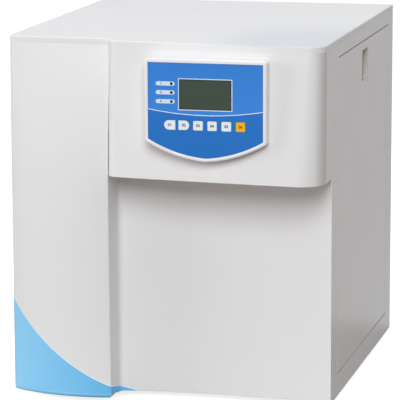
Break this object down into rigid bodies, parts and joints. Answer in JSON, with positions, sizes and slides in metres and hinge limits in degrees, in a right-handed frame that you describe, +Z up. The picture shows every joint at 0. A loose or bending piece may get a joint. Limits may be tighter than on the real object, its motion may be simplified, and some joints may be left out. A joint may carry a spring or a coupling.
{
  "type": "ultrapure water system",
  "caption": "Bench-top ultrapure water system with a bowed front column, an overhanging head with a control panel, a dispensing bay and a drop-down side service door.",
  "frame": {"origin": "on the bench, at the middle of the overall outline", "axes": "+X to the right seen from the front, +Y to the back, +Z up"},
  "size_m": [0.44, 0.566, 0.5],
  "materials": {
    "painted_sheet": "smooth semi-gloss powder coat",
    "moulded_cover": "gloss painted moulding",
    "wave_print": "printed film",
    "bezel_plastic": "gloss moulding",
    "overlay_print": "printed polyester overlay",
    "display_glass": "clear window over a dark grey-green display",
    "key_pale": "satin",
    "key_amber": "satin",
    "board_green": "solder mask",
    "component_black": "moulded",
    "lamp_lens": "smoked lens",
    "foot_rubber": "moulded",
    "plain_steel": "zinc plated",
    "stainless_tube": "satin metal",
    "acetal_white": "moulded",
    "canister_white": "moulded polypropylene",
    "motor_paint": "black enamel",
    "pump_plastic": "glass filled moulding",
    "supply_case": "folded sheet",
    "valve_body": "moulded"
  },
  "bodies": {
    "cabinet": {"base_tray": "painted_sheet", "booster_pump_head": "pump_plastic", "booster_pump_motor": "motor_paint", "bridge_tubes": "acetal_white", "cartridge_heads": "canister_white", "cartridge_rail": "plain_steel", "centre_partition": "painted_sheet", "control_board": "board_green", "display_board": "board_green", "door_magnets": "component_black", "door_pivot_pins": "plain_steel", "drain_fitting": "acetal_white", "feed_fitting": "acetal_white", "fitting_nuts": "acetal_white", "front_moulding": "moulded_cover", "head_cover": "moulded_cover", "head_floor": "moulded_cover", "housing_clips": "acetal_white", "key_switches": "component_black", "lcd_module": "plain_steel", "lcd_window": "display_glass", "left_side_panel": "painted_sheet", "loop_pump_head": "pump_plastic", "loop_pump_motor": "motor_paint", "mains_inlet": "component_black", "membrane_housing": "canister_white", "nozzle_nuts": "acetal_white", "panel_bezel": "bezel_plastic", "panel_overlay": "overlay_print", "power_supply": "supply_case", "pressure_switches": "component_black", "pump_cradles": "plain_steel", "pump_grommets": "foot_rubber", "pure_nozzle": "acetal_white", "rear_panel": "painted_sheet", "right_side_frame": "painted_sheet", "rubber_feet": "foot_rubber", "solenoid_valves": "valve_body", "status_lights": "lamp_lens", "switch_frame": "component_black", "tank_fitting": "acetal_white", "top_cover": "moulded_cover", "ultrapure_nozzle": "acetal_white", "uv_chamber": "stainless_tube", "wave_film": "wave_print"},
    "door": {"service_door": "painted_sheet", "pull_cup": "moulded_cover"},
    "rocker": {"switch_rocker": "component_black"},
    "keycap_1": {"key_1": "key_pale"},
    "keycap_2": {"key_2": "key_pale"},
    "keycap_3": {"key_3": "key_pale"},
    "keycap_4": {"key_4": "key_pale"},
    "keycap_5": {"key_5": "key_pale"},
    "keycap_6": {"key_6": "key_amber"},
    "canister_1": {"sediment_cartridge": "canister_white"},
    "canister_2": {"carbon_cartridge": "canister_white"},
    "canister_3": {"polisher_cartridge_1": "canister_white"},
    "canister_4": {"polisher_cartridge_2": "canister_white"}
  },
  "joints": [
    {"name": "door_hinge", "type": "hinge", "parent": "cabinet", "child": "door", "pos_m": [0.2164, 0.0335, 0.0456], "axis": [0, 1, 0], "range_deg": [0, 90]},
    {"name": "key_1_press", "type": "slide", "parent": "cabinet", "child": "keycap_1", "axis": [0, 1, 0], "range_m": [0, 0.0005], "stiffness_N_per_m": 1500},
    {"name": "key_2_press", "type": "slide", "parent": "cabinet", "child": "keycap_2", "axis": [0, 1, 0], "range_m": [0, 0.0005], "stiffness_N_per_m": 1500},
    {"name": "key_3_press", "type": "slide", "parent": "cabinet", "child": "keycap_3", "axis": [0, 1, 0], "range_m": [0, 0.0005], "stiffness_N_per_m": 1500},
    {"name": "key_4_press", "type": "slide", "parent": "cabinet", "child": "keycap_4", "axis": [0, 1, 0], "range_m": [0, 0.0005], "stiffness_N_per_m": 1500},
    {"name": "key_5_press", "type": "slide", "parent": "cabinet", "child": "keycap_5", "axis": [0, 1, 0], "range_m": [0, 0.0005], "stiffness_N_per_m": 1500},
    {"name": "key_6_press", "type": "slide", "parent": "cabinet", "child": "keycap_6", "axis": [0, 1, 0], "range_m": [0, 0.0005], "stiffness_N_per_m": 1500},
    {"name": "power_rocker", "type": "hinge", "parent": "cabinet", "child": "rocker", "pos_m": [-0.102, 0.262, 0.08], "axis": [1, 0, 0], "range_deg": [-18, 0]},
    {"name": "sediment_cartridge_turn", "type": "hinge", "parent": "cabinet", "child": "canister_1", "pos_m": [0.154, -0.107, 0.35], "axis": [0, 0, 1], "range_deg": [0, 90]},
    {"name": "carbon_cartridge_turn", "type": "hinge", "parent": "cabinet", "child": "canister_2", "pos_m": [0.154, -0.024, 0.35], "axis": [0, 0, 1], "range_deg": [0, 90]},
    {"name": "polisher_cartridge_1_turn", "type": "hinge", "parent": "cabinet", "child": "canister_3", "pos_m": [0.154, 0.067, 0.35], "axis": [0, 0, 1], "range_deg": [0, 90]},
    {"name": "polisher_cartridge_2_turn", "type": "hinge", "parent": "cabinet", "child": "canister_4", "pos_m": [0.154, 0.166, 0.35], "axis": [0, 0, 1], "range_deg": [0, 90]}
  ]
}
